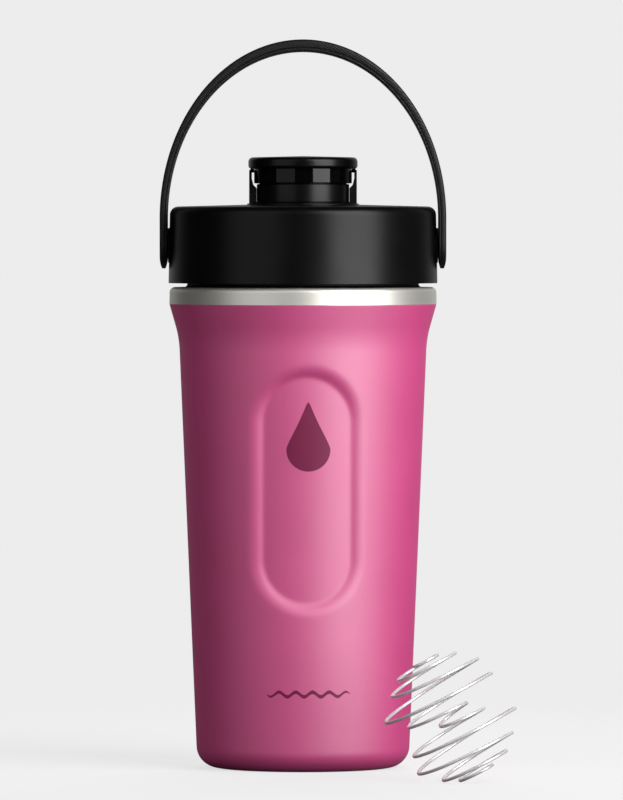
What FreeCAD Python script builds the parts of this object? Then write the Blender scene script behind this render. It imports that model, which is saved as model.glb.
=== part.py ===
"""Insulated shaker bottle: a double-walled steel flask with a screw-on lid, a flip cap over the spout,
a swinging carry strap and a loose wire whisk.

Millimetres. The origin is the centre of the base on the table, +Z is up, +X is to the right and the
thumb recess faces -Y. Every function below makes one node, and the last section writes them all.
"""

import FreeCAD, Part
import math
import os

from FreeCAD import Placement, Rotation, Vector

# ---------------------------------------------------------------- driving dimensions
STEEL = 0.5                  # sheet thickness of both flask walls
FLASK_WALL = 3.2             # outside of the flask to the inside of its liner: two sheets and the vacuum
BASE_RADIUS = 36.95           # where the side wall would meet the table if the corner were square
TAPER = 0.0424               # radius gained for each millimetre of height
BASE_CORNER = 7.5
FLARE_Z = 150.2              # height where the taper turns out into the flare
FLARE_BLEND = 37.0
COAT_TOP_Z = 162.0           # top of the coated shell, where the bare rim starts
RIM_RADIUS = 46.7
RIM_TOP_Z = 167.9
RIM_CORNER = 1.8
MOUTH_RADIUS = 41.1
LINER_FLOOR_Z = 6.2          # inside floor of the liner

RECESS_DEPTH = 1.6           # thumb recess, pressed into the front and the back
RECESS_Z = 97.8
RECESS_HALF_WIDTH = 17.9
RECESS_HALF_LENGTH = 41.5
RECESS_TURN = 2.3            # degrees: the flask as it stands is turned a little under its lid

LID_BOTTOM_Z = 169.3
LID_EDGE_Z = 196.0
LID_TOP_Z = 196.7            # the top is this high beside the spout, and a little lower at its edge
BRACKET_RADIUS = 19.6
LID_RADIUS_LOW = 47.0
LID_RADIUS_TOP = 46.5
LID_CORNER = 3.0
LID_WALL = 2.0

PLUG_RADIUS = 38.9
PLUG_BOTTOM_Z = 153.0
FLANGE_Z = 169.6
FLANGE_THICKNESS = 2.0
SEAL_Z = 167.0               # where the gasket's lip meets the chamfer inside the rim

THREAD_STARTS = 2
THREAD_LEAD = 8.0            # rise of the lid for one turn
THREAD_ARC = 280.0           # degrees that each ridge covers
THREAD_START_Z = 155.5       # centre of a lid ridge at its lower end
THREAD_OFFSET = 1.4          # flask ridges sit this far above the lid ridges
RIDGE_BASE = 1.9
RIDGE_CREST = 0.9
LID_RIDGE_HEIGHT = 1.6
FLASK_RIDGE_HEIGHT = 1.5

SPOUT_BORE = 13.2
NECK_RADIUS = 16.15
NECK_FOOT_Z = 197.8
NECK_SHOULDER_Z = 203.8
SPOUT_LIP_RADIUS = 15.2
SPOUT_TOP_Z = 207.6

CAP_RADIUS = 19.1
CAP_TOP_Z = 213.7
CAP_DISC_Z = 209.2           # underside of the cap's disc
SKIRT_RADIUS = 17.1
SKIRT_BORE = 15.9
SKIRT_BOTTOM_Z = 204.1
HINGE_Y = 20.5
HINGE_Z = 210.2
HINGE_PIN_RADIUS = 1.1
KNUCKLE_RADIUS = 2.4
KNUCKLE_HALF_WIDTH = 15.9
EAR_OUTSIDE_X = 18.8
EAR_TOP_Z = 208.8
EAR_FRONT_Y = -5.0
EAR_END_RADIUS = 2.3
HUB_INSIDE_X = 16.2
HUB_OUTSIDE_X = 18.3
SKIRT_OPEN_Y = 5.0           # the skirt is open behind this line, so that it clears the spout as it tips

STRAP_PIVOT_Z = 182.5
STRAP_WIDTH = 16.2
STRAP_OUTSIDE_X = 50.0
STRAP_INSIDE_X = 47.3
STRAP_SPRING_Z = 191.9       # height where the straight legs turn into the arch
STRAP_TOP_Z = 254.3
STRAP_TOP_THICKNESS = 4.2
STUD_RADIUS = 2.5
STUD_HEAD_RADIUS = 4.6
STUD_HEAD_THICKNESS = 1.1
EYELET_RADIUS = 3.4
SEAT_X = STRAP_OUTSIDE_X - STUD_HEAD_THICKNESS - 0.2   # floor of the strap's seat for a stud's head
BOSS_RADIUS = 6.1

WHISK_WIRE = 1.1             # wire diameter
WHISK_RADIUS = 20.5          # wire centre at the widest turns
WHISK_LOBE = 21.2            # length of one lobe along the axis
WHISK_TILT = 29.4            # degrees that the axis leans from upright
WHISK_START = 220.0          # degrees round the axis where the wire's top end is
WHISK_CENTRE = (50.5, -82.0)
# One lobe of the whisk from its end to its waist: turn, radius and height as shares of the widest
# radius and of the lobe's length.
WHISK_STATIONS = (
    (0, 0.16, 0.0), (1, 0.50, 0.08), (2, 0.72, 0.27), (3, 1.0, 0.59), (4, 0.615, 0.84), (4.75, 0.20, 1.0),
)
ARCS_PER_TURN = 12

RUNNING = 0.1                # radial clearance of a pin that turns in its bore
X, Y, Z = Vector(1, 0, 0), Vector(0, 1, 0), Vector(0, 0, 1)
CENTRE = Vector(0, 0, 0)


# ---------------------------------------------------------------- outlines and turned shapes
def unit(a, b):
    length = math.hypot(b[0] - a[0], b[1] - a[1])
    return (b[0] - a[0]) / length, (b[1] - a[1]) / length


def outline(corners, place):
    """A face through closed corners (u, v) or (u, v, radius), each rounded to its radius."""
    edges, ends = [], []
    count = len(corners)
    for i in range(count):
        before, here, after = corners[i - 1], corners[i], corners[(i + 1) % count]
        radius = here[2] if len(here) > 2 else 0
        if radius <= 0:
            ends.append((here[:2], here[:2], None))
            continue
        back, ahead = unit(here, before), unit(here, after)
        half = math.acos(max(-1, min(1, back[0] * ahead[0] + back[1] * ahead[1]))) / 2
        reach = radius / math.tan(half)
        middle = unit((0, 0), (back[0] + ahead[0], back[1] + ahead[1]))
        inset = radius / math.sin(half) - radius
        ends.append((
            (here[0] + back[0] * reach, here[1] + back[1] * reach),
            (here[0] + ahead[0] * reach, here[1] + ahead[1] * reach),
            (here[0] + middle[0] * inset, here[1] + middle[1] * inset),
        ))
    for i in range(count):
        arrive, leave, through = ends[i]
        if through:
            edges.append(Part.Arc(place(*arrive), place(*through), place(*leave)).toShape())
        start, end = place(*leave), place(*ends[(i + 1) % count][0])
        if start.distanceToPoint(end) > 1e-6:
            edges.append(Part.LineSegment(start, end).toShape())
    return Part.Face(Part.Wire(edges))


def in_xz(u, v):
    return Vector(u, 0, v)


def in_yz(u, v):
    return Vector(0, u, v)


def turned(corners):
    """A solid of revolution about Z from its half section (radius, z[, corner radius])."""
    return outline(corners, in_xz).revolve(CENTRE, Z, 360)


def offset_path(path, distance):
    """The path of lines and rounded corners that runs the distance to the left of this one."""
    moved = []
    for i, here in enumerate(path):
        lines = []
        for a, b in ((i - 1, i), (i, i + 1)):
            if a >= 0 and b < len(path):
                along = unit(path[a], path[b])
                shift = (-along[1] * distance, along[0] * distance)
                lines.append(((path[a][0] + shift[0], path[a][1] + shift[1]), along, shift))
        radius = here[2] if len(here) > 2 else 0
        if len(lines) == 1:
            shift = lines[0][2]
            moved.append((here[0] + shift[0], here[1] + shift[1]))
            continue
        (p, d, _), (q, e, _) = lines
        cross = d[0] * e[1] - d[1] * e[0]
        t = ((q[0] - p[0]) * e[1] - (q[1] - p[1]) * e[0]) / cross
        tighter = distance * math.copysign(1, cross)
        moved.append((p[0] + d[0] * t, p[1] + d[1] * t, max(0, radius - tighter) if radius else 0))
    return moved


def turned_wall(path, thickness):
    """A wall of revolution whose one face follows the path, and which is thick to the path's left."""
    return turned(list(path) + offset_path(path, thickness)[::-1])


def cylinder(radius, start, axis, length):
    return Part.makeCylinder(radius, length, start, axis)


def taper_radius(z):
    return BASE_RADIUS + TAPER * z


# ---------------------------------------------------------------- flask
def flask_envelope(inset):
    """The flask's outside, shrunk by the inset, as a solid that runs up past the shell's top."""
    path = [
        (BASE_RADIUS, 0, BASE_CORNER),
        (taper_radius(FLARE_Z), FLARE_Z, FLARE_BLEND),
        (RIM_RADIUS, COAT_TOP_Z),
    ]
    side = offset_path([(0, 0)] + path, inset)
    top = side[-1]
    return turned([(0, inset)] + side[1:] + [(top[0] + inset * TAPER, top[1] + inset), (0, top[1] + inset)])


def recess_tool(growth):
    """What is cut from the envelope for the front and back recesses: a stadium down to a floor that
    follows the flask's taper."""
    half_width = RECESS_HALF_WIDTH + growth
    half_length = RECESS_HALF_LENGTH + half_width - RECESS_HALF_WIDTH
    rise = half_length - half_width
    reach = 2 * RIM_RADIUS
    block = Part.makeBox(2 * half_width, 2 * reach, 2 * rise, Vector(-half_width, -reach, RECESS_Z - rise))
    ends = [
        cylinder(half_width, Vector(0, -reach, RECESS_Z + side * rise), Y, 2 * reach)
        for side in (-1, 1)
    ]
    stadium = block.multiFuse(ends).removeSplitter().rotated(CENTRE, Z, RECESS_TURN)
    low, high = RECESS_Z - half_length - 1, RECESS_Z + half_length + 1
    depth = RECESS_DEPTH + growth
    floor = turned([
        (0, low),
        (taper_radius(low) - depth, low),
        (taper_radius(high) - depth, high),
        (0, high),
    ])
    return stadium.cut(floor)


def outer_shell():
    """Coated outer wall with its pressed recesses and the foot ring it stands on."""
    foot_bore = 27.0
    outside = flask_envelope(0).cut(recess_tool(0))
    inside = flask_envelope(STEEL).cut(recess_tool(STEEL))
    shell = outside.cut(inside)
    return shell.cut(cylinder(foot_bore, Vector(0, 0, -1), Z, 3))


def base_disc():
    """Bare steel disc welded onto the inside of the foot ring, raised in the middle."""
    path = [(29.7, STEEL), (25.5, STEEL, 1.0), (23.5, 2.6, 1.0), (1.3, 2.6)]
    return turned_wall(path, -STEEL)


def port_seal():
    """Solder bead that closes the vacuum port in the middle of the base disc."""
    return turned([(0, 2.2), (1.2, 2.2), (2.6, 2.0, 0.3), (2.6, 2.6), (1.3, 2.6), (1.3, 3.3, 0.3), (0, 3.5)])


def getter():
    """Getter pill in its cup, on the vacuum side of the base disc."""
    return cylinder(4.5, Vector(13, 0, 2.6 + STEEL), Z, 1.5)


def ridge(radius, height, start_z, angle):
    """One thread ridge on a cylinder. A positive height stands out of it, a negative one into it."""
    root = radius - math.copysign(0.35, height)
    crest = radius + height
    helix = Part.makeHelix(THREAD_LEAD, THREAD_LEAD * THREAD_ARC / 360, radius)
    section = Part.Wire(Part.makePolygon([
        Vector(root, 0, -RIDGE_BASE / 2),
        Vector(crest, 0, -RIDGE_CREST / 2),
        Vector(crest, 0, RIDGE_CREST / 2),
        Vector(root, 0, RIDGE_BASE / 2),
        Vector(root, 0, -RIDGE_BASE / 2),
    ]))
    solid = Part.Wire(helix.Edges).makePipeShell([section], True, True)
    solid.Placement = Placement(Vector(0, 0, start_z), Rotation(Z, angle))
    return solid


def inner_liner():
    """Steel liner with its rolled-out rim, which is the bare band above the coat, and the thread
    that the lid screws into."""
    liner_radius = BASE_RADIUS - FLASK_WALL
    shelf_z = 146.0
    inside = [
        (0, LINER_FLOOR_Z),
        (liner_radius + TAPER * LINER_FLOOR_Z, LINER_FLOOR_Z, 8.0),
        (liner_radius + TAPER * shelf_z, shelf_z, 2.0),
        (MOUTH_RADIUS, shelf_z + 3, 2.0),
        (MOUTH_RADIUS, RIM_TOP_Z - 2.6, 0.8),
        (MOUTH_RADIUS + 1.6, RIM_TOP_Z, 0.8),
        (RIM_RADIUS - 0.1, RIM_TOP_Z, RIM_CORNER),
        (RIM_RADIUS, COAT_TOP_Z),
    ]
    wall = turned_wall(inside, -STEEL)
    step = 360 / THREAD_STARTS
    ridges = [
        ridge(MOUTH_RADIUS, -FLASK_RIDGE_HEIGHT, THREAD_START_Z + THREAD_OFFSET, step * i)
        for i in range(THREAD_STARTS)
    ]
    return wall.multiFuse(ridges)


# ---------------------------------------------------------------- lid
def lid_cover():
    """Moulded outer cover of the lid with the strap bosses and the ears of the cap hinge."""
    cover = turned_wall([
        (LID_RADIUS_LOW, LID_BOTTOM_Z),
        (LID_RADIUS_TOP, LID_EDGE_Z, LID_CORNER),
        (BRACKET_RADIUS, LID_TOP_Z),
    ], LID_WALL)
    wall_x = LID_RADIUS_TOP - 1.0
    bosses = []
    for side in (-1, 1):
        boss_foot = Vector(side * wall_x, 0, STRAP_PIVOT_Z)
        bosses.append(cylinder(BOSS_RADIUS, boss_foot, X * side, STRAP_INSIDE_X - 0.15 - wall_x))
        bosses.append(cylinder(4.5, boss_foot, X * -side, wall_x - 40.0))
    cover = cover.multiFuse(bosses).removeSplitter()
    for side in (-1, 1):
        cover = cover.cut(cylinder(STUD_RADIUS, Vector(side * 41.0, 0, STRAP_PIVOT_Z), X * side, 10))
    return cover


def hinge_ear(side):
    """One of the two ears beside the spout. It is thick at its foot, thin beside the cap's skirt, and
    rises behind the cap's disc to the hub that holds the hinge pin."""
    foot_z = LID_TOP_Z + 0.05
    rear = HINGE_Y + EAR_END_RADIUS
    hub_top = HINGE_Z + EAR_END_RADIUS
    section = outline([
        (side * 16.3, foot_z),
        (side * EAR_OUTSIDE_X, foot_z),
        (side * EAR_OUTSIDE_X, EAR_TOP_Z),
        (side * HUB_OUTSIDE_X, EAR_TOP_Z + 0.6),
        (side * HUB_OUTSIDE_X, hub_top + 1),
        (side * 18.0, hub_top + 1),
        (side * 18.0, SKIRT_BOTTOM_Z + 1.8, 3.0),
        (side * 17.4, SKIRT_BOTTOM_Z - 0.5, 0.8),
        (side * 16.3, SKIRT_BOTTOM_Z - 1.5, 0.6),
    ], in_xz)
    bar = section.translated(Y * EAR_FRONT_Y).extrude(Y * (rear - EAR_FRONT_Y))
    profile = outline([
        (EAR_FRONT_Y, foot_z),
        (EAR_FRONT_Y + 1.2, EAR_TOP_Z, 3.0),
        (HINGE_Y - EAR_END_RADIUS - 1.0, EAR_TOP_Z, 0.8),
        (HINGE_Y - EAR_END_RADIUS + 0.4, hub_top, 1.5),
        (rear, hub_top, EAR_END_RADIUS - 0.05),
        (rear, foot_z),
    ], in_yz)
    blade = bar.common(profile.translated(X * -30).extrude(X * 60))
    hub_start = Vector(side * HUB_INSIDE_X, HINGE_Y, HINGE_Z)
    hub = cylinder(EAR_END_RADIUS - 0.1, hub_start, X * side, HUB_OUTSIDE_X - HUB_INSIDE_X)
    return blade.fuse(hub)


def hinge_bracket():
    """Collar round the foot of the spout, set into the cover, with the two ears of the cap hinge."""
    bore = NECK_RADIUS + 0.12
    flange_top = LID_TOP_Z - LID_WALL
    collar = turned([
        (bore, flange_top - 1.2),
        (BRACKET_RADIUS + 1.6, flange_top - 1.2),
        (BRACKET_RADIUS + 1.6, flange_top - 0.05),
        (BRACKET_RADIUS - 0.05, flange_top - 0.05),
        (BRACKET_RADIUS - 0.05, LID_TOP_Z + 0.3, 0.2),
        (NECK_RADIUS + 1.0, LID_TOP_Z + 1.0, 0.3),
        (bore, LID_TOP_Z + 1.0),
    ])
    bracket = collar.multiFuse([hinge_ear(-1), hinge_ear(1)]).removeSplitter()
    return bracket.cut(cylinder(HINGE_PIN_RADIUS, Vector(-30, HINGE_Y, HINGE_Z), X, 60))


def lid_core():
    """Inner moulding of the lid: the threaded plug, its flange and the spout in one piece."""
    core = turned([
        (SPOUT_BORE, PLUG_BOTTOM_Z, 1.0),
        (PLUG_RADIUS, PLUG_BOTTOM_Z, 1.5),
        (PLUG_RADIUS, FLANGE_Z),
        (LID_RADIUS_LOW - LID_WALL - 0.1, FLANGE_Z),
        (LID_RADIUS_LOW - LID_WALL - 0.1, FLANGE_Z + FLANGE_THICKNESS),
        (37.2, FLANGE_Z + FLANGE_THICKNESS),
        (37.2, PLUG_BOTTOM_Z + 2.2, 2.0),
        (15.4, PLUG_BOTTOM_Z + 2.2, 2.0),
        (15.4, NECK_FOOT_Z - 0.6),
        (NECK_RADIUS, NECK_FOOT_Z),
        (NECK_RADIUS, NECK_SHOULDER_Z, 0.3),
        (SPOUT_LIP_RADIUS, NECK_SHOULDER_Z + 0.2),
        (SPOUT_LIP_RADIUS, SPOUT_TOP_Z, 0.9),
        (SPOUT_BORE, SPOUT_TOP_Z, 0.9),
    ])
    step = 360 / THREAD_STARTS
    ridges = [ridge(PLUG_RADIUS, LID_RIDGE_HEIGHT, THREAD_START_Z, step * i) for i in range(THREAD_STARTS)]
    return core.multiFuse(ridges)


def lid_gasket():
    """Silicone ring round the plug. Its lip seals on the chamfer inside the rim."""
    bore = PLUG_RADIUS + 0.05
    return turned([
        (bore, SEAL_Z - 1.7, 0.3),
        (MOUTH_RADIUS - 0.3, SEAL_Z - 1.7, 0.3),
        (MOUTH_RADIUS + 0.7, SEAL_Z, 0.3),
        (MOUTH_RADIUS + 0.2, SEAL_Z + 0.8, 0.3),
        (MOUTH_RADIUS - 0.6, FLANGE_Z - 1.0, 0.3),
        (MOUTH_RADIUS - 0.6, FLANGE_Z - 0.05),
        (bore, FLANGE_Z - 0.05),
    ])


def hinge_pin():
    """Steel pin of the cap hinge, pressed into both ears."""
    half = HUB_OUTSIDE_X - 0.1
    return cylinder(HINGE_PIN_RADIUS, Vector(-half, HINGE_Y, HINGE_Z), X, 2 * half)


def strap_stud(side):
    """Stud that holds one strap end to the lid. Its head lies flush in the strap's outer face."""
    head_x = STRAP_OUTSIDE_X - 0.1
    shank = cylinder(STUD_RADIUS, Vector(side * 41.2, 0, STRAP_PIVOT_Z), X * side, head_x - 41.2)
    head_start = Vector(side * (head_x - STUD_HEAD_THICKNESS), 0, STRAP_PIVOT_Z)
    head = cylinder(STUD_HEAD_RADIUS, head_start, X * side, STUD_HEAD_THICKNESS)
    return shank.fuse(head).removeSplitter()


# ---------------------------------------------------------------- cap
def cap_top():
    """Flip cap: the disc under the thumb and the arm behind it with the hinge knuckle."""
    disc = turned([
        (0, CAP_DISC_Z + 1.0),
        (SKIRT_RADIUS - 0.6, CAP_DISC_Z + 1.0),
        (SKIRT_RADIUS - 0.6, CAP_DISC_Z),
        (CAP_RADIUS, CAP_DISC_Z, 1.2),
        (CAP_RADIUS, CAP_TOP_Z - 0.5, 1.6),
        (0, CAP_TOP_Z),
    ])
    web = outline([
        (9.0, CAP_DISC_Z + 0.2),
        (9.0, HINGE_Z + KNUCKLE_RADIUS - 0.2),
        (HINGE_Y, HINGE_Z + KNUCKLE_RADIUS - 0.2),
        (HINGE_Y, CAP_DISC_Z + 0.2),
    ], in_yz)
    half = KNUCKLE_HALF_WIDTH
    arm = web.translated(X * -half).extrude(X * 2 * half)
    barrel = cylinder(KNUCKLE_RADIUS, Vector(-half, HINGE_Y, HINGE_Z), X, 2 * half)
    room = cylinder(SKIRT_RADIUS + 0.05, Z * LID_TOP_Z, Z, CAP_DISC_Z + 1 - LID_TOP_Z)
    cap = disc.fuse(arm.fuse(barrel).cut(room)).removeSplitter()
    return cap.cut(cylinder(HINGE_PIN_RADIUS + RUNNING, Vector(-30, HINGE_Y, HINGE_Z), X, 60))


def cap_skirt():
    """Glossy skirt set into the disc, which drops over the spout's lip and is open at the rear."""
    skirt = turned([
        (0, CAP_DISC_Z - 0.5),
        (SKIRT_BORE, CAP_DISC_Z - 0.5),
        (SKIRT_BORE, SKIRT_BOTTOM_Z, 0.4),
        (SKIRT_RADIUS, SKIRT_BOTTOM_Z, 0.4),
        (SKIRT_RADIUS, CAP_DISC_Z - 0.05),
        (SKIRT_RADIUS - 0.65, CAP_DISC_Z - 0.05),
        (SKIRT_RADIUS - 0.65, CAP_DISC_Z + 0.95),
        (0, CAP_DISC_Z + 0.95),
    ])
    opening = Part.makeBox(40, 20, CAP_DISC_Z - 0.5 - LID_TOP_Z, Vector(-20, SKIRT_OPEN_Y, LID_TOP_Z))
    return skirt.cut(opening)


def cap_liner():
    """Plug under the skirt's top, which enters the spout."""
    return turned([
        (0, SPOUT_TOP_Z - 3.0),
        (12.0, SPOUT_TOP_Z - 3.0, 0.8),
        (12.6, SPOUT_TOP_Z + 0.4),
        (SKIRT_BORE - 0.05, SPOUT_TOP_Z + 0.4),
        (SKIRT_BORE - 0.05, CAP_DISC_Z - 0.55),
        (0, CAP_DISC_Z - 0.55),
    ])


def cap_seal():
    """Silicone ring under the cap liner's flange, on top of the spout."""
    top = SPOUT_TOP_Z + 0.4
    return turned([(12.9, top - 0.36), (15.4, top - 0.36), (15.4, top), (12.9, top)])


# ---------------------------------------------------------------- strap
def carry_strap():
    """Flexible carry strap: two straight legs that turn into an arch over the lid."""
    outer_rise = STRAP_TOP_Z - STRAP_SPRING_Z
    inner_rise = outer_rise - STRAP_TOP_THICKNESS
    spring = Vector(0, 0, STRAP_SPRING_Z)

    def half_disc(half_width, rise, low):
        ellipse = Part.Ellipse(spring + Z * rise, spring + X * half_width, spring)
        arch = Part.Face(Part.Wire(ellipse.toShape()))
        block = Part.makeBox(2 * half_width, STRAP_WIDTH, STRAP_SPRING_Z - low, Vector(-half_width, -STRAP_WIDTH / 2, low))
        dome = arch.translated(Y * (-STRAP_WIDTH / 2)).extrude(Y * STRAP_WIDTH)
        return dome.fuse(block)

    low = STRAP_PIVOT_Z - STRAP_WIDTH / 2
    band = half_disc(STRAP_OUTSIDE_X, outer_rise, low).cut(half_disc(STRAP_INSIDE_X, inner_rise, low - 1))
    end = cylinder(STRAP_WIDTH / 2, Vector(-60, 0, STRAP_PIVOT_Z), X, 120)
    above = Part.makeBox(120, STRAP_WIDTH, 100, Vector(-60, -STRAP_WIDTH / 2, STRAP_PIVOT_Z))
    band = band.common(end.fuse(above))
    for side in (-1, 1):
        hole = cylinder(EYELET_RADIUS, Vector(side * 40, 0, STRAP_PIVOT_Z), X * side, 15)
        seat = cylinder(STUD_HEAD_RADIUS + 0.3, Vector(side * SEAT_X, 0, STRAP_PIVOT_Z), X * side, 5)
        band = band.cut(hole.fuse(seat))
    return band


def strap_eyelet(side):
    """Sleeve lining the hole in one strap end, which turns on the stud."""
    start = Vector(side * (STRAP_INSIDE_X + 0.05), 0, STRAP_PIVOT_Z)
    length = SEAT_X - STRAP_INSIDE_X - 0.05
    return cylinder(EYELET_RADIUS, start, X * side, length).cut(cylinder(STUD_RADIUS + RUNNING, start, X * side, length))


# ---------------------------------------------------------------- whisk
def whisk_points():
    """Points along the wire's centre, from the top end through the waist to the bottom end."""
    last = WHISK_STATIONS[-1][0]
    lobe = Part.BSplineCurve()
    lobe.interpolate(
        Points=[Vector(turn, share * WHISK_RADIUS, rise * WHISK_LOBE) for turn, share, rise in WHISK_STATIONS],
        Parameters=[turn for turn, _, _ in WHISK_STATIONS],
        InitialTangent=Vector(1, 0.37 * WHISK_RADIUS, 0.05 * WHISK_LOBE),
        FinalTangent=Vector(1, 0, 0.2 * WHISK_LOBE),
        Scale=False,
    )
    points = []
    steps = int(2 * last * ARCS_PER_TURN)
    for i in range(steps + 1):
        turn = 2 * last * i / steps
        on_lobe = lobe.value(turn if turn <= last else 2 * last - turn)
        height = WHISK_LOBE - on_lobe.z if turn <= last else on_lobe.z - WHISK_LOBE
        angle = math.radians(WHISK_START) + 2 * math.pi * turn
        points.append(Vector(on_lobe.y * math.cos(angle), on_lobe.y * math.sin(angle), height))
    return points


def wire_whisk():
    """Loose whisk: one steel wire wound into two lobes, made of arcs that each start in the
    direction in which the last one ended."""
    points = whisk_points()
    chord, next_chord = points[1] - points[0], points[2] - points[1]
    heading = (chord * 3 - next_chord).normalize()
    faces = []
    for start, end in zip(points, points[1:]):
        chord = end - start
        axis = heading.cross(chord)
        axis.normalize()
        half = heading.getAngle(chord)
        radius = chord.Length / 2 / math.sin(half)
        centre = start + axis.cross(heading).normalize() * radius
        ring = Part.Circle(start, heading, WHISK_WIRE / 2).toShape()
        if not faces:
            faces.append(Part.Face(Part.Wire(ring)))
        faces.append(ring.revolve(centre, axis, math.degrees(2 * half)))
        heading = Rotation(axis, math.degrees(2 * half)).multVec(heading)
    faces.append(Part.Face(Part.Wire(Part.Circle(points[-1], heading, WHISK_WIRE / 2).toShape())))
    shell = Part.makeCompound(faces)
    shell.sewShape()
    wire = Part.Solid(shell.Shells[0] if shell.Shells else Part.Shell(shell.Faces))
    if wire.Volume < 0:
        wire.reverse()
    wire.Placement = Placement(Vector(*WHISK_CENTRE, 0), Rotation(Y, -WHISK_TILT))
    return wire.translated(Z * -wire.optimalBoundingBox().ZMin)


# ---------------------------------------------------------------- files
NODES = {
    "outer_shell": outer_shell,
    "inner_liner": inner_liner,
    "base_disc": base_disc,
    "port_seal": port_seal,
    "getter": getter,
    "lid_cover": lid_cover,
    "lid_core": lid_core,
    "lid_gasket": lid_gasket,
    "hinge_bracket": hinge_bracket,
    "hinge_pin": hinge_pin,
    "strap_stud_left": lambda: strap_stud(-1),
    "strap_stud_right": lambda: strap_stud(1),
    "cap_top": cap_top,
    "cap_skirt": cap_skirt,
    "cap_liner": cap_liner,
    "cap_seal": cap_seal,
    "carry_strap": carry_strap,
    "strap_eyelet_left": lambda: strap_eyelet(-1),
    "strap_eyelet_right": lambda: strap_eyelet(1),
    "wire_whisk": wire_whisk,
}

os.makedirs("parts", exist_ok=True)
for name, make in NODES.items():
    shape = make()
    solids = shape.Solids
    print(name, len(solids), "valid" if shape.isValid() else "NOT VALID", round(shape.Volume, 1), flush=True)
    shape = solids[0] if len(solids) == 1 else Part.makeCompound(solids)
    shape.exportStep(f"parts/{name}.step")
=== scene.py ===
import math

import bpy
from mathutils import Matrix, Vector


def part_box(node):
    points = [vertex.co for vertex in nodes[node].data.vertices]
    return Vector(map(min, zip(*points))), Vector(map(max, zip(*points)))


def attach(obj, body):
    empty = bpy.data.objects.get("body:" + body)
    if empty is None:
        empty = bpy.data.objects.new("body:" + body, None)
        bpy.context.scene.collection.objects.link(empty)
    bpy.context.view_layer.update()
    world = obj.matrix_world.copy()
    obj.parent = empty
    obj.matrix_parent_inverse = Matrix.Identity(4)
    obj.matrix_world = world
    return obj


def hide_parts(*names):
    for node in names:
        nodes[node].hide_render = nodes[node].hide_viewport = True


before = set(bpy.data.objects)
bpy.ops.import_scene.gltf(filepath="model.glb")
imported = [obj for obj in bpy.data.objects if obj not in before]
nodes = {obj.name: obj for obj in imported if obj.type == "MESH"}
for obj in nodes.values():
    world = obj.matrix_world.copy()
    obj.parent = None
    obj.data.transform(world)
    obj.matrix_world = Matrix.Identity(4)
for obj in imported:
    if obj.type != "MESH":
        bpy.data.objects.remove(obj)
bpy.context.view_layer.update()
MM = 0.001


# ---------------------------------------------------------------- coated outer wall
# The flask's outer wall is a drawn steel tube, tapered and flared at the top, with a long thumb
# recess pressed into the front and the back. It is powder coated, which leaves a satin film with
# a very fine orange-peel texture.
_, SHELL_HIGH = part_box("outer_shell")
RIM_RADIUS = SHELL_HIGH.x
COAT_TOP = SHELL_HIGH.z
FOOT_RADIUS = 36.95 * MM
FOOT_BORE = 27.0 * MM           # opening in the foot, where the base disc shows
TAPER = 0.0424                  # growth of the radius for each unit of height
FLARE_Z = 150.2 * MM
WALL_AT_RIM = 0.9 * MM
WALL_AT_FLARE = 0.7 * MM
WALL_AT_RECESS = 2.4 * MM       # leaves room inside for the pressed recess
FOOT_WALL = 0.5 * MM
RECESS_DEPTH = 1.75 * MM
RECESS_Z = 97.8 * MM
RECESS_HALF_WIDTH = 17.9 * MM
RECESS_HALF_LENGTH = 41.5 * MM
RECESS_BLEND = 5.4 * MM         # width of the slope between the wall and the recess floor
RECESS_TURN = math.radians(2.3)
RECESS_END = RECESS_Z + RECESS_HALF_LENGTH + RECESS_BLEND / 2


def work_on(piece, mode="EDIT"):
    """Makes the piece the only selected one and enters the mode."""
    if bpy.context.mode != "OBJECT":
        bpy.ops.object.mode_set(mode="OBJECT")
    bpy.ops.object.select_all(action="DESELECT")
    piece.select_set(True)
    bpy.context.view_layer.objects.active = piece
    bpy.ops.object.mode_set(mode=mode)


def add_primitive(operator, name, **place):
    """Adds a primitive with everything else deselected, and names it."""
    bpy.ops.object.select_all(action="DESELECT")
    operator(**place)
    piece = bpy.context.object
    piece.name = piece.data.name = name
    return piece


def rounded(corners, segments=8):
    """Points along a path of (radius, height[, corner radius]) with its corners rounded."""
    points = []
    for i, corner in enumerate(corners):
        here = Vector(corner[:2])
        if len(corner) < 3 or i in (0, len(corners) - 1):
            points.append(here)
            continue
        back = (Vector(corners[i - 1][:2]) - here).normalized()
        ahead = (Vector(corners[i + 1][:2]) - here).normalized()
        half = back.angle(ahead) / 2
        centre = here + (back + ahead).normalized() * corner[2] / math.sin(half)
        start = here + back * corner[2] / math.tan(half) - centre
        turn = math.pi - 2 * half
        if back.x * ahead.y - back.y * ahead.x > 0:
            turn = -turn
        for k in range(segments + 1):
            a = turn * k / segments
            points.append(centre + Vector((
                start.x * math.cos(a) - start.y * math.sin(a),
                start.x * math.sin(a) + start.y * math.cos(a),
            )))
    return points


def finely(points, step):
    """The same path with its long runs divided into steps of about this length."""
    dense = [points[0]]
    for a, b in zip(points, points[1:]):
        count = max(1, round((b - a).length / step))
        dense += [a.lerp(b, k / count) for k in range(1, count + 1)]
    return dense


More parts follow.
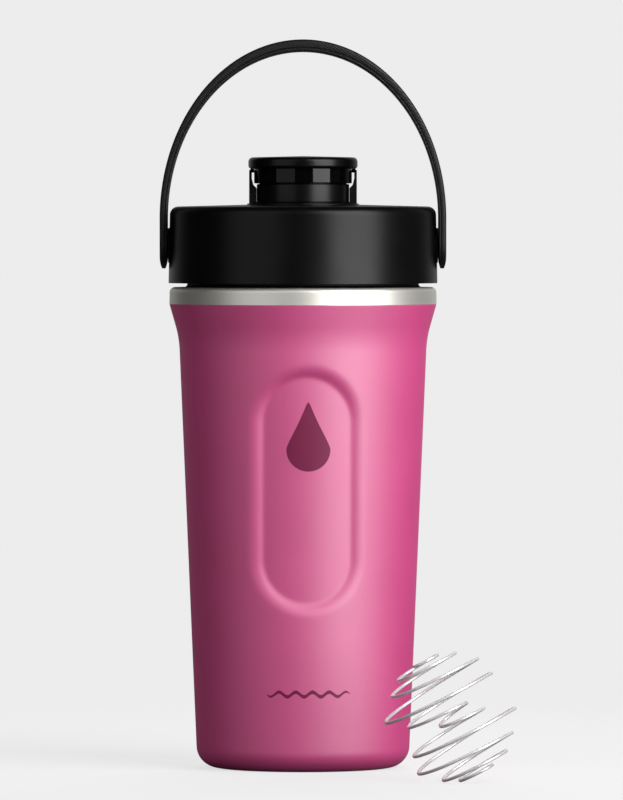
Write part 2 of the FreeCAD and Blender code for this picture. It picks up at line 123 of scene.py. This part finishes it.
def turned_piece(name, path, steps):
    """One vertex extruded along the path (radius, height) and spun about Z into a closed skin."""
    piece = add_primitive(bpy.ops.mesh.primitive_plane_add, name, size=MM)
    work_on(piece)
    bpy.ops.mesh.select_all(action="SELECT")
    bpy.ops.mesh.merge(type="CENTER")
    bpy.ops.transform.translate(value=(path[0].x, 0, path[0].y))
    for a, b in zip(path, path[1:]):
        move = {"value": (b.x - a.x, 0, b.y - a.y)}
        bpy.ops.mesh.extrude_region_move(TRANSFORM_OT_translate=move)
    bpy.ops.object.mode_set(mode="OBJECT")
    spin = piece.modifiers.new("Spin", "SCREW")
    spin.steps = spin.render_steps = steps
    spin.use_merge_vertices = True
    spin.merge_threshold = 1e-6
    bpy.ops.object.modifier_apply(modifier="Spin")
    work_on(piece)
    bpy.ops.mesh.select_all(action="SELECT")
    bpy.ops.mesh.remove_doubles(threshold=1e-6)
    bpy.ops.mesh.normals_make_consistent(inside=False)
    bpy.ops.object.mode_set(mode="OBJECT")
    return piece


outside = rounded([
    (FOOT_BORE, 0),
    (FOOT_RADIUS, 0, 7.5 * MM),
    (FOOT_RADIUS + TAPER * FLARE_Z, FLARE_Z, 37.0 * MM),
    (RIM_RADIUS, COAT_TOP, 0.25 * MM),
    (RIM_RADIUS - WALL_AT_RIM, COAT_TOP),
], segments=14)
inside = rounded([
    (RIM_RADIUS - WALL_AT_RIM, COAT_TOP),
    (FOOT_RADIUS - WALL_AT_FLARE + TAPER * FLARE_Z, FLARE_Z),
    (FOOT_RADIUS - WALL_AT_RECESS + TAPER * RECESS_END, RECESS_END),
    (FOOT_RADIUS - WALL_AT_RECESS, FOOT_WALL, 5.0 * MM),
    (FOOT_BORE, FOOT_WALL),
    (FOOT_BORE, 0),
], segments=4)
shell = turned_piece("coated_wall", finely(outside, 0.85 * MM) + inside[1:], steps=330)

# The recess: the slope starts softly at its outer edge and meets the floor in a tighter bend.
SKIN = 1.2 * MM                 # vertices nearer the axis than this belong to the inside
for vertex in shell.data.vertices:
    x, y, z = vertex.co
    radius = math.hypot(x, y)
    across = x * math.cos(RECESS_TURN) + y * math.sin(RECESS_TURN)
    along = max(0, abs(z - RECESS_Z) - (RECESS_HALF_LENGTH - RECESS_HALF_WIDTH))
    inward = RECESS_HALF_WIDTH - math.hypot(across, along)
    share = min(1, max(0, inward / RECESS_BLEND + 0.5))
    fall = 1.25 * share ** 2 if share < 0.8 else 1 - 5 * (1 - share) ** 2
    if share > 0 and radius > FOOT_RADIUS - SKIN + TAPER * z:
        sunk = RECESS_DEPTH * fall
        vertex.co.x *= 1 - sunk / radius
        vertex.co.y *= 1 - sunk / radius
work_on(shell, "OBJECT")
bpy.ops.object.shade_smooth_by_angle(angle=math.radians(35))


def new_material(name):
    """A material, its node tree, its Principled shader and its object coordinates."""
    material = bpy.data.materials.new(name)
    material.use_nodes = True
    tree = material.node_tree
    shader = tree.nodes["Principled BSDF"]
    coordinates = tree.nodes.new("ShaderNodeTexCoord")
    return material, tree, shader, coordinates.outputs["Object"]


def fine_grain_group():
    """Node group: a fine grain, as a bumped normal, an uneven roughness and a cloudy mask."""
    group = bpy.data.node_groups.new("fine_grain", "ShaderNodeTree")
    face = group.interface
    face.new_socket("Vector", in_out="INPUT", socket_type="NodeSocketVector")
    for name in ("Scale", "Depth", "Roughness", "Unevenness"):
        face.new_socket(name, in_out="INPUT", socket_type="NodeSocketFloat")
    face.new_socket("Roughness", in_out="OUTPUT", socket_type="NodeSocketFloat")
    face.new_socket("Normal", in_out="OUTPUT", socket_type="NodeSocketVector")
    face.new_socket("Cloud", in_out="OUTPUT", socket_type="NodeSocketFloat")
    entry, leave = group.nodes.new("NodeGroupInput"), group.nodes.new("NodeGroupOutput")
    grain, cloud = group.nodes.new("ShaderNodeTexNoise"), group.nodes.new("ShaderNodeTexNoise")
    grain.inputs["Detail"].default_value = 2
    cloud.inputs["Scale"].default_value = 60
    bump = group.nodes.new("ShaderNodeBump")
    bump.inputs["Distance"].default_value = 0.05 * MM
    spread = group.nodes.new("ShaderNodeMath")
    spread.operation = "MULTIPLY_ADD"
    centred = group.nodes.new("ShaderNodeMath")
    centred.operation = "SUBTRACT"
    centred.inputs[1].default_value = 0.5
    link = group.links.new
    link(entry.outputs["Vector"], grain.inputs["Vector"])
    link(entry.outputs["Scale"], grain.inputs["Scale"])
    link(entry.outputs["Vector"], cloud.inputs["Vector"])
    link(grain.outputs["Fac"], bump.inputs["Height"])
    link(entry.outputs["Depth"], bump.inputs["Strength"])
    link(cloud.outputs["Fac"], centred.inputs[0])
    link(centred.outputs[0], spread.inputs[0])
    link(entry.outputs["Unevenness"], spread.inputs[1])
    link(entry.outputs["Roughness"], spread.inputs[2])
    link(spread.outputs[0], leave.inputs["Roughness"])
    link(bump.outputs["Normal"], leave.inputs["Normal"])
    link(cloud.outputs["Fac"], leave.inputs["Cloud"])
    return group


FINE_GRAIN = fine_grain_group()


def add_grain(tree, shader, vector, scale, depth, roughness, unevenness=0.08):
    """Places the grain group in a material and gives back its cloudy mask."""
    grain = tree.nodes.new("ShaderNodeGroup")
    grain.node_tree = FINE_GRAIN
    grain.inputs["Scale"].default_value = scale
    grain.inputs["Depth"].default_value = depth
    grain.inputs["Roughness"].default_value = roughness
    grain.inputs["Unevenness"].default_value = unevenness
    tree.links.new(vector, grain.inputs["Vector"])
    tree.links.new(grain.outputs["Roughness"], shader.inputs["Roughness"])
    tree.links.new(grain.outputs["Normal"], shader.inputs["Normal"])
    return grain.outputs["Cloud"]


def two_tones(tree, shader, mask, dark, light):
    """Lets the base colour drift between two near tones along a mask; on the strap the mask is the
    rib height, so there it paints shade into the grooves.
    """
    ramp = tree.nodes.new("ShaderNodeValToRGB")
    ramp.color_ramp.elements[0].position = 0.3
    ramp.color_ramp.elements[1].position = 0.7
    ramp.color_ramp.elements[0].color = (*dark, 1)
    ramp.color_ramp.elements[1].color = (*light, 1)
    tree.links.new(mask, ramp.inputs["Fac"])
    tree.links.new(ramp.outputs["Color"], shader.inputs["Base Color"])


coat, tree, shader, place = new_material("powder_coat")
cloud = add_grain(tree, shader, place, scale=2600, depth=0.12, roughness=0.60, unevenness=0.06)
two_tones(tree, shader, cloud, (0.60, 0.000, 0.180), (0.63, 0.001, 0.195))
shader.inputs["Specular IOR Level"].default_value = 1.0
shader.inputs["IOR"].default_value = 2.0
shell.data.materials.append(coat)
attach(shell, "flask")
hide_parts("outer_shell")


# ---------------------------------------------------------------- printed marks
# A plain droplet is printed on the recess floor, and a plain wavy line low on the front. Both are
# a darker tone of the coat, a film a few hundredths of a millimetre thick that follows the wall.
MARK_Z = 116.3 * MM
MARK_X = 1.9 * MM
DROPLET_RADIUS = 7.6 * MM
DROPLET_DROP = 4.2 * MM         # the round part's centre lies this far below the mark's middle
LINE_Z = 27.4 * MM
LINE_LENGTH = 29.0 * MM
LINE_THICKNESS = 1.3 * MM
WAVE_HEIGHT = 0.8 * MM
WAVES = 5
FILM = 0.05 * MM
BEFORE_WALL = -60 * MM          # where a mark is drawn before it is laid on the wall

ink, tree, shader, place = new_material("print_ink")
cloud = add_grain(tree, shader, place, scale=2600, depth=0.12, roughness=0.55, unevenness=0.06)
two_tones(tree, shader, cloud, (0.17, 0.004, 0.05), (0.19, 0.006, 0.056))


def print_on_wall(piece):
    """Lays a flat piece that faces -Y onto the shell and gives it the film's thickness."""
    work_on(piece, "OBJECT")
    wrap = piece.modifiers.new("Lay", "SHRINKWRAP")
    wrap.target = shell
    wrap.wrap_method = "PROJECT"
    wrap.use_project_y = True
    wrap.use_positive_direction = True
    wrap.use_negative_direction = False
    wrap.offset = FILM / 2
    bpy.ops.object.modifier_apply(modifier="Lay")
    film = piece.modifiers.new("Film", "SOLIDIFY")
    film.thickness = FILM
    film.offset = 0
    bpy.ops.object.modifier_apply(modifier="Film")
    piece.data.materials.clear()
    piece.data.materials.append(ink)
    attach(piece, "flask")


droplet = add_primitive(
    bpy.ops.mesh.primitive_circle_add, "droplet_mark",
    vertices=64, radius=DROPLET_RADIUS, fill_type="TRIFAN", rotation=(math.pi / 2, 0, 0),
)
bpy.ops.object.transform_apply(location=True, rotation=True, scale=True)
work_on(droplet)
bpy.ops.mesh.select_all(action="SELECT")
bpy.ops.mesh.subdivide(number_cuts=7)
bpy.ops.object.mode_set(mode="OBJECT")
for vertex in droplet.data.vertices:
    # the upper half of the disc is drawn up and in to a point
    height = vertex.co.z / DROPLET_RADIUS
    if height > 0:
        vertex.co.x *= 1 - 0.72 * height ** 1.6
        vertex.co.z *= 1 + 1.15 * height
    vertex.co += Vector((MARK_X, BEFORE_WALL, MARK_Z - DROPLET_DROP))
print_on_wall(droplet)

wave = add_primitive(
    bpy.ops.mesh.primitive_grid_add, "wave_mark",
    x_subdivisions=120, y_subdivisions=2, size=1, rotation=(math.pi / 2, 0, 0),
)
bpy.ops.object.transform_apply(location=True, rotation=True, scale=True)
for vertex in wave.data.vertices:
    # the strip bends into waves and thins out at its ends
    along = vertex.co.x
    swell = math.sqrt(max(0, 1 - (2 * along) ** 4))
    crest = WAVE_HEIGHT * math.sin(along * 2 * math.pi * WAVES)
    vertex.co = (
        MARK_X + along * LINE_LENGTH,
        BEFORE_WALL,
        LINE_Z + crest + vertex.co.z * LINE_THICKNESS * swell,
    )
print_on_wall(wave)


# ---------------------------------------------------------------- steel liner and base
# The liner is bare stainless steel. Its rim is rolled out over the coated wall and left bare, with
# fine lines round the bottle from the polishing wheel. The base disc is spun from the same steel.
def brushed_lines_group():
    """Node group: fine lines that run round the Z axis, as a mask and a bumped normal."""
    group = bpy.data.node_groups.new("brushed_lines", "ShaderNodeTree")
    face = group.interface
    face.new_socket("Vector", in_out="INPUT", socket_type="NodeSocketVector")
    face.new_socket("Depth", in_out="INPUT", socket_type="NodeSocketFloat")
    face.new_socket("Lines", in_out="OUTPUT", socket_type="NodeSocketFloat")
    face.new_socket("Normal", in_out="OUTPUT", socket_type="NodeSocketVector")
    entry, leave = group.nodes.new("NodeGroupInput"), group.nodes.new("NodeGroupOutput")
    split = group.nodes.new("ShaderNodeSeparateXYZ")
    radius = group.nodes.new("ShaderNodeVectorMath")
    radius.operation = "LENGTH"
    flat = group.nodes.new("ShaderNodeCombineXYZ")
    joined = group.nodes.new("ShaderNodeCombineXYZ")
    noise = group.nodes.new("ShaderNodeTexNoise")
    noise.inputs["Scale"].default_value = 9000
    noise.inputs["Detail"].default_value = 3
    bump = group.nodes.new("ShaderNodeBump")
    bump.inputs["Distance"].default_value = 0.02 * MM
    link = group.links.new
    link(entry.outputs["Vector"], split.inputs[0])
    link(split.outputs["X"], flat.inputs["X"])
    link(split.outputs["Y"], flat.inputs["Y"])
    link(flat.outputs[0], radius.inputs[0])
    link(radius.outputs["Value"], joined.inputs["X"])
    link(split.outputs["Z"], joined.inputs["Y"])
    link(joined.outputs[0], noise.inputs["Vector"])
    link(noise.outputs["Fac"], bump.inputs["Height"])
    link(entry.outputs["Depth"], bump.inputs["Strength"])
    link(noise.outputs["Fac"], leave.inputs["Lines"])
    link(bump.outputs["Normal"], leave.inputs["Normal"])
    return group


BRUSHED_LINES = brushed_lines_group()


def steel(name, dark, light, rough_low, rough_high, depth):
    """Bare satin steel with lines that run round the Z axis."""
    material, tree, shader, place = new_material(name)
    lines = tree.nodes.new("ShaderNodeGroup")
    lines.node_tree = BRUSHED_LINES
    lines.inputs["Depth"].default_value = depth
    spread = tree.nodes.new("ShaderNodeMapRange")
    spread.inputs["To Min"].default_value = rough_low
    spread.inputs["To Max"].default_value = rough_high
    shader.inputs["Metallic"].default_value = 0.85
    two_tones(tree, shader, lines.outputs["Lines"], dark, light)
    tree.links.new(place, lines.inputs["Vector"])
    tree.links.new(lines.outputs["Lines"], spread.inputs["Value"])
    tree.links.new(spread.outputs["Result"], shader.inputs["Roughness"])
    tree.links.new(lines.outputs["Normal"], shader.inputs["Normal"])
    return material


def finish_node(name, material):
    """Gives a CAD node its material."""
    nodes[name].data.materials.clear()
    nodes[name].data.materials.append(material)


rim_steel = steel("rim_steel", (0.90, 0.88, 0.81), (0.98, 0.96, 0.89), 0.36, 0.50, 0.25)
base_steel = steel("base_steel", (0.50, 0.49, 0.47), (0.62, 0.61, 0.59), 0.25, 0.42, 0.4)
solder = steel("solder", (0.35, 0.35, 0.35), (0.45, 0.45, 0.45), 0.35, 0.5, 0.3)
getter_metal = steel("getter_metal", (0.3, 0.3, 0.3), (0.4, 0.4, 0.4), 0.5, 0.6, 0.3)
finish_node("inner_liner", rim_steel)
finish_node("base_disc", base_steel)
finish_node("port_seal", solder)
finish_node("getter", getter_metal)


# ---------------------------------------------------------------- lid
# The lid's cover and hinge bracket are moulded in black polypropylene with a fine spark-eroded
# texture. The plug and spout inside are a little smoother, and the gasket is soft silicone.
def black_plastic(name, tone, roughness, scale, depth, specular=0.26):
    """Black moulded plastic with a fine grain."""
    material, tree, shader, place = new_material(name)
    cloud = add_grain(tree, shader, place, scale=scale, depth=depth, roughness=roughness)
    two_tones(tree, shader, cloud, (tone, tone, tone * 1.06), (tone * 1.5, tone * 1.5, tone * 1.6))
    shader.inputs["Specular IOR Level"].default_value = specular
    return material


lid_plastic = black_plastic("lid_plastic", 0.001, 0.33, 3200, 0.25, specular=0.24)
plug_plastic = black_plastic("plug_plastic", 0.0015, 0.30, 3000, 0.1)
silicone = black_plastic("silicone", 0.003, 0.6, 2500, 0.1)
pin_steel = steel("pin_steel", (0.5, 0.5, 0.5), (0.6, 0.6, 0.6), 0.2, 0.3, 0.1)
finish_node("lid_cover", lid_plastic)
finish_node("hinge_bracket", lid_plastic)
finish_node("lid_core", plug_plastic)
finish_node("lid_gasket", silicone)
finish_node("hinge_pin", pin_steel)


# ---------------------------------------------------------------- cap
# The disc that the thumb presses is satin, and the skirt under it is polished. A plug and a
# silicone ring inside close the spout.
finish_node("cap_top", black_plastic("cap_plastic", 0.001, 0.28, 3200, 0.15))
finish_node("cap_skirt", black_plastic("cap_gloss", 0.001, 0.05, 900, 0.01, specular=0.24))
finish_node("cap_liner", plug_plastic)
finish_node("cap_seal", silicone)


# ---------------------------------------------------------------- carry strap
# The strap is a flexible band moulded in two layers: a thick outer layer with a fine crossed rib
# and a thinner smooth lining under it, with a groove between them along both edges. Its straight
# ends are rounded, and a stud goes through a sleeve in each.
STRAP_LOW, STRAP_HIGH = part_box("carry_strap")
STRAP_HALF = STRAP_HIGH.y
STRAP_OUTSIDE = STRAP_HIGH.x
STRAP_SIDE = 2.7 * MM
STRAP_TOP = 4.2 * MM
END_TAPER = 0.75 * MM           # how much each face draws in at the very end of the strap
END_TAPER_HEIGHT = 4.0 * MM
SPRING_Z = 191.9 * MM           # where the straight ends turn into the arch
PIVOT_Z = STRAP_LOW.z + STRAP_HALF
LEG_SHARE = 0.26                # share of each half of the strap that is its straight end
STATIONS = 180                  # steps along the strap
LAYERS = 3.0                    # depth of the cross-section as it is drawn


def strap_section():
    """The strap's cross-section in millimetres across and in depth from the inner face outwards."""
    w, groove, d = STRAP_HALF / MM, 0.5, LAYERS
    right = [(w, 0, 0.5), (w, 0.80, 0.2), (w - groove, 0.95, 0.08), (w, 1.1, 0.2), (w, d, 0.9)]
    left = [(-x, depth, corner) for x, depth, corner in reversed(right)]
    return rounded([(0, 0)] + right + [(0, d)] + left + [(0, 0)], segments=4)


def strap_station(t):
    """Outer point, inner point and half-width of the strap at t, which goes from -1 to 1."""
    side = math.copysign(1, t)
    if abs(t) > 1 - LEG_SHARE:
        z = SPRING_Z - (abs(t) - 1 + LEG_SHARE) / LEG_SHARE * (SPRING_Z - STRAP_LOW.z)
        below = PIVOT_Z - z
        half = math.sqrt(max(0, STRAP_HALF ** 2 - max(0, below) ** 2))
        draw = END_TAPER * max(0, 1 - (z - STRAP_LOW.z) / END_TAPER_HEIGHT) ** 2
        outer = Vector((side * (STRAP_OUTSIDE - draw), 0, z))
        inner = Vector((side * (STRAP_OUTSIDE - STRAP_SIDE + draw), 0, z))
        return outer, inner, half
    angle = math.pi / 2 * t / (1 - LEG_SHARE)
    radius, rise = STRAP_OUTSIDE, STRAP_HIGH.z - SPRING_Z
    outer = Vector((radius * math.sin(angle), 0, SPRING_Z + rise * math.cos(angle)))
    radius, rise = radius - STRAP_SIDE, rise - STRAP_TOP
    inner = Vector((radius * math.sin(angle), 0, SPRING_Z + rise * math.cos(angle)))
    return outer, inner, STRAP_HALF


section = finely(strap_section(), 1.6)
strap = add_primitive(
    bpy.ops.mesh.primitive_grid_add, "strap_band",
    x_subdivisions=len(section) - 1, y_subdivisions=STATIONS, size=1,
)
for vertex in strap.data.vertices:
    column = round((vertex.co.x + 0.5) * (len(section) - 1))
    row = round((vertex.co.y + 0.5) * STATIONS)
    outer, inner, half = strap_station(-1 + 2 * row / STATIONS)
    across, depth = section[column]
    vertex.co = inner.lerp(outer, depth / LAYERS)
    vertex.co.y += across * MM / STRAP_HALF * half
work_on(strap)
bpy.ops.mesh.select_all(action="SELECT")
bpy.ops.mesh.remove_doubles(threshold=1e-6)
bpy.ops.mesh.normals_make_consistent(inside=False)
bpy.ops.object.mode_set(mode="OBJECT")
bpy.ops.object.shade_smooth_by_angle(angle=math.radians(40))

# A shallow seat for the stud's head and a hole for its sleeve, in each end.
for side in (-1, 1):
    for radius, depth, x in (
        (4.9 * MM, 4 * MM, STRAP_OUTSIDE + 0.7 * MM),
        (3.4 * MM, 12 * MM, STRAP_OUTSIDE),
    ):
        cutter = add_primitive(
            bpy.ops.mesh.primitive_cylinder_add, "cutter", vertices=96, radius=radius, depth=depth,
            location=(side * x, 0, PIVOT_Z), rotation=(0, math.pi / 2, 0),
        )
        work_on(strap, "OBJECT")
        cut = strap.modifiers.new("Cut", "BOOLEAN")
        cut.operation = "DIFFERENCE"
        cut.solver = "EXACT"
        cut.object = cutter
        bpy.ops.object.modifier_apply(modifier="Cut")
        bpy.data.objects.remove(cutter)

RIB_SLANT = 0.62                # radians either way, which makes the ribs cross
strap_rubber, tree, shader, place = new_material("strap_rubber")
cross = []
for turn in (RIB_SLANT, -RIB_SLANT):
    mapping = tree.nodes.new("ShaderNodeMapping")
    mapping.inputs["Rotation"].default_value = (0, turn, 0)
    rib = tree.nodes.new("ShaderNodeTexWave")
    rib.wave_type = "BANDS"
    rib.bands_direction = "Z"
    rib.inputs["Scale"].default_value = 420
    rib.inputs["Distortion"].default_value = 0.3
    tree.links.new(place, mapping.inputs["Vector"])
    tree.links.new(mapping.outputs["Vector"], rib.inputs["Vector"])
    cross.append(rib.outputs["Fac"])
rib_height_and_groove_shade = tree.nodes.new("ShaderNodeMath")
rib_height_and_groove_shade.operation = "MULTIPLY"
bump = tree.nodes.new("ShaderNodeBump")
bump.inputs["Strength"].default_value = 0.35
bump.inputs["Distance"].default_value = 0.25 * MM
tree.links.new(cross[0], rib_height_and_groove_shade.inputs[0])
tree.links.new(cross[1], rib_height_and_groove_shade.inputs[1])
tree.links.new(rib_height_and_groove_shade.outputs[0], bump.inputs["Height"])
tree.links.new(bump.outputs["Normal"], shader.inputs["Normal"])
shader.inputs["Roughness"].default_value = 0.48
# The rib height also sets the colour: darker in the grooves and lighter on the crests, which is
# painted shade in the grooves.
two_tones(tree, shader, rib_height_and_groove_shade.outputs[0], (0.002, 0.002, 0.0024), (0.006, 0.006, 0.0066))
shader.inputs["Specular IOR Level"].default_value = 0.35
strap.data.materials.clear()
strap.data.materials.append(strap_rubber)
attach(strap, "strap")
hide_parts("carry_strap")

stud_plastic = black_plastic("stud_plastic", 0.006, 0.3, 3000, 0.08)
for name in ("strap_stud_left", "strap_stud_right", "strap_eyelet_left", "strap_eyelet_right"):
    finish_node(name, stud_plastic)


# ---------------------------------------------------------------- whisk
# The whisk is one length of polished stainless wire, wound into two lobes that meet at a narrow
# waist. It goes loose into the flask, and here it stands beside the bottle.
whisk_steel, tree, shader, place = new_material("whisk_steel")
# Less than half metallic over a near-white base colour: the white diffuse share is a painted
# reflection of the bright surroundings in the polished wire.
shader.inputs["Metallic"].default_value = 0.45
cloud = add_grain(tree, shader, place, scale=4000, depth=0.05, roughness=0.30, unevenness=0.08)
two_tones(tree, shader, cloud, (0.90, 0.90, 0.90), (0.96, 0.96, 0.96))
finish_node("wire_whisk", whisk_steel)


# ---------------------------------------------------------------- floor
# The bottle stands on a sheet of pale paper that runs into a backdrop of the same grey. Near the
# bottle the paper takes some of its shadow, and it throws only a little light back up.
BACKDROP = 0.845
FLOOR_RADIUS = 1.2
BELOW_BASE = 0.02 * MM

floor = add_primitive(
    bpy.ops.mesh.primitive_circle_add, "floor",
    vertices=128, radius=FLOOR_RADIUS, fill_type="NGON", location=(0, 0, -BELOW_BASE),
)
paper = bpy.data.materials.new("floor_paper")
paper.use_nodes = True
tree = paper.node_tree
tree.nodes.clear()
link = tree.links.new
place = tree.nodes.new("ShaderNodeTexCoord")
reach = tree.nodes.new("ShaderNodeVectorMath")
reach.operation = "LENGTH"
fade = tree.nodes.new("ShaderNodeMapRange")
fade.interpolation_type = "SMOOTHSTEP"
fade.inputs["From Min"].default_value = 0.10
fade.inputs["From Max"].default_value = 0.45
fade.inputs["To Min"].default_value = 0.22
fade.inputs["To Max"].default_value = 0.0
glow = tree.nodes.new("ShaderNodeEmission")
glow.inputs["Color"].default_value = (BACKDROP, BACKDROP, BACKDROP, 1)
matt = tree.nodes.new("ShaderNodeBsdfDiffuse")
matt.inputs["Color"].default_value = (0.9, 0.9, 0.9, 1)
lift = tree.nodes.new("ShaderNodeMath")
lift.operation = "MULTIPLY_ADD"
lift.inputs[1].default_value = 0.25
lift.inputs[2].default_value = 1.0
seen = tree.nodes.new("ShaderNodeMixShader")
bounce = tree.nodes.new("ShaderNodeBsdfDiffuse")
bounce.inputs["Color"].default_value = (0.10, 0.10, 0.10, 1)
ray = tree.nodes.new("ShaderNodeLightPath")
either = tree.nodes.new("ShaderNodeMixShader")
out = tree.nodes.new("ShaderNodeOutputMaterial")
link(place.outputs["Object"], reach.inputs[0])
link(reach.outputs["Value"], fade.inputs["Value"])
link(fade.outputs["Result"], seen.inputs["Fac"])
link(fade.outputs["Result"], lift.inputs[0])
link(lift.outputs[0], glow.inputs["Strength"])
link(glow.outputs[0], seen.inputs[1])
link(matt.outputs[0], seen.inputs[2])
link(ray.outputs["Is Camera Ray"], either.inputs["Fac"])
link(bounce.outputs[0], either.inputs[1])
link(seen.outputs[0], either.inputs[2])
link(either.outputs[0], out.inputs["Surface"])
floor.data.materials.append(paper)


# ---------------------------------------------------------------- studio light
# A strong softbox on the right gives the coat its sweep from light to dark, a weak one on the left
# opens the shadow side, and two fills that leave no reflection light the far left and the back.
BOX_DISTANCE = 0.9
BOX_HEIGHT = 1.2
BOX_Z = 0.45
BOX_AIM = Vector((0, 0, 0.14))


def softbox(name, azimuth, width, radiance, glossy=True):
    """A rectangular softbox round the bottle that faces its middle. Azimuth 0 is the front."""
    data = bpy.data.lights.new(name, "AREA")
    data.shape = "RECTANGLE"
    data.size, data.size_y = width, BOX_HEIGHT
    data.energy = radiance * math.pi * width * BOX_HEIGHT
    lamp = bpy.data.objects.new(name, data)
    bpy.context.scene.collection.objects.link(lamp)
    a = math.radians(azimuth)
    lamp.location = (BOX_DISTANCE * math.sin(a), -BOX_DISTANCE * math.cos(a), BOX_Z)
    lamp.rotation_euler = (BOX_AIM - lamp.location).to_track_quat("-Z", "Y").to_euler()
    lamp.visible_camera = False
    lamp.visible_glossy = glossy


softbox("right_softbox", azimuth=45, width=0.76, radiance=5.6)
softbox("left_softbox", azimuth=-42, width=0.84, radiance=0.6)
softbox("left_fill", azimuth=-60, width=0.84, radiance=0.40, glossy=False)
softbox("rear_fill", azimuth=176, width=0.84, radiance=3.0, glossy=False)

world = bpy.data.worlds.new("studio")
bpy.context.scene.world = world
world.use_nodes = True
tree = world.node_tree
tree.nodes.clear()
place = tree.nodes.new("ShaderNodeTexCoord")
split = tree.nodes.new("ShaderNodeSeparateXYZ")
walls = []
for axis, near, far, dim, bright in (
    ("Y", 0.55, 0.99, 0.02, 0.40),      # the room is dark in front and lighter behind
    ("X", 0.30, 0.95, 0.00, 0.04),      # and a little lighter on the right
):
    wall = tree.nodes.new("ShaderNodeMapRange")
    wall.interpolation_type = "SMOOTHSTEP"
    wall.inputs["From Min"].default_value = near
    wall.inputs["From Max"].default_value = far
    wall.inputs["To Min"].default_value = dim
    wall.inputs["To Max"].default_value = bright
    tree.links.new(split.outputs[axis], wall.inputs["Value"])
    walls.append(wall)
room = tree.nodes.new("ShaderNodeMath")
ray = tree.nodes.new("ShaderNodeLightPath")
level = tree.nodes.new("ShaderNodeMix")
level.inputs["B"].default_value = BACKDROP
air = tree.nodes.new("ShaderNodeBackground")
air.inputs["Color"].default_value = (1, 1, 1, 1)
out = tree.nodes.new("ShaderNodeOutputWorld")
link = tree.links.new
link(place.outputs["Generated"], split.inputs[0])
link(walls[0].outputs["Result"], room.inputs[0])
link(walls[1].outputs["Result"], room.inputs[1])
link(ray.outputs["Is Camera Ray"], level.inputs["Factor"])
link(room.outputs[0], level.inputs["A"])
link(level.outputs["Result"], air.inputs["Strength"])
link(air.outputs[0], out.inputs["Surface"])

bpy.context.scene.view_settings.view_transform = "Standard"


# ---------------------------------------------------------------- camera
# A long lens three metres away, a little above the bottle's middle, looks slightly down on it, so
# the bottle stands nearly free of perspective.
CAMERA_DISTANCE = 3.0
AIM = Vector((0.00298, 0, 0.1284))
LOOK_DOWN = math.radians(1.203)

lens = bpy.data.cameras.new("camera")
lens.lens = 386
lens.clip_end = 20
camera = bpy.data.objects.new("camera", lens)
bpy.context.scene.collection.objects.link(camera)
away = Vector((0, -math.cos(LOOK_DOWN), math.sin(LOOK_DOWN)))
camera.location = AIM + away * CAMERA_DISTANCE
camera.rotation_euler = (math.pi / 2 - LOOK_DOWN, 0, 0)
bpy.context.scene.camera = camera
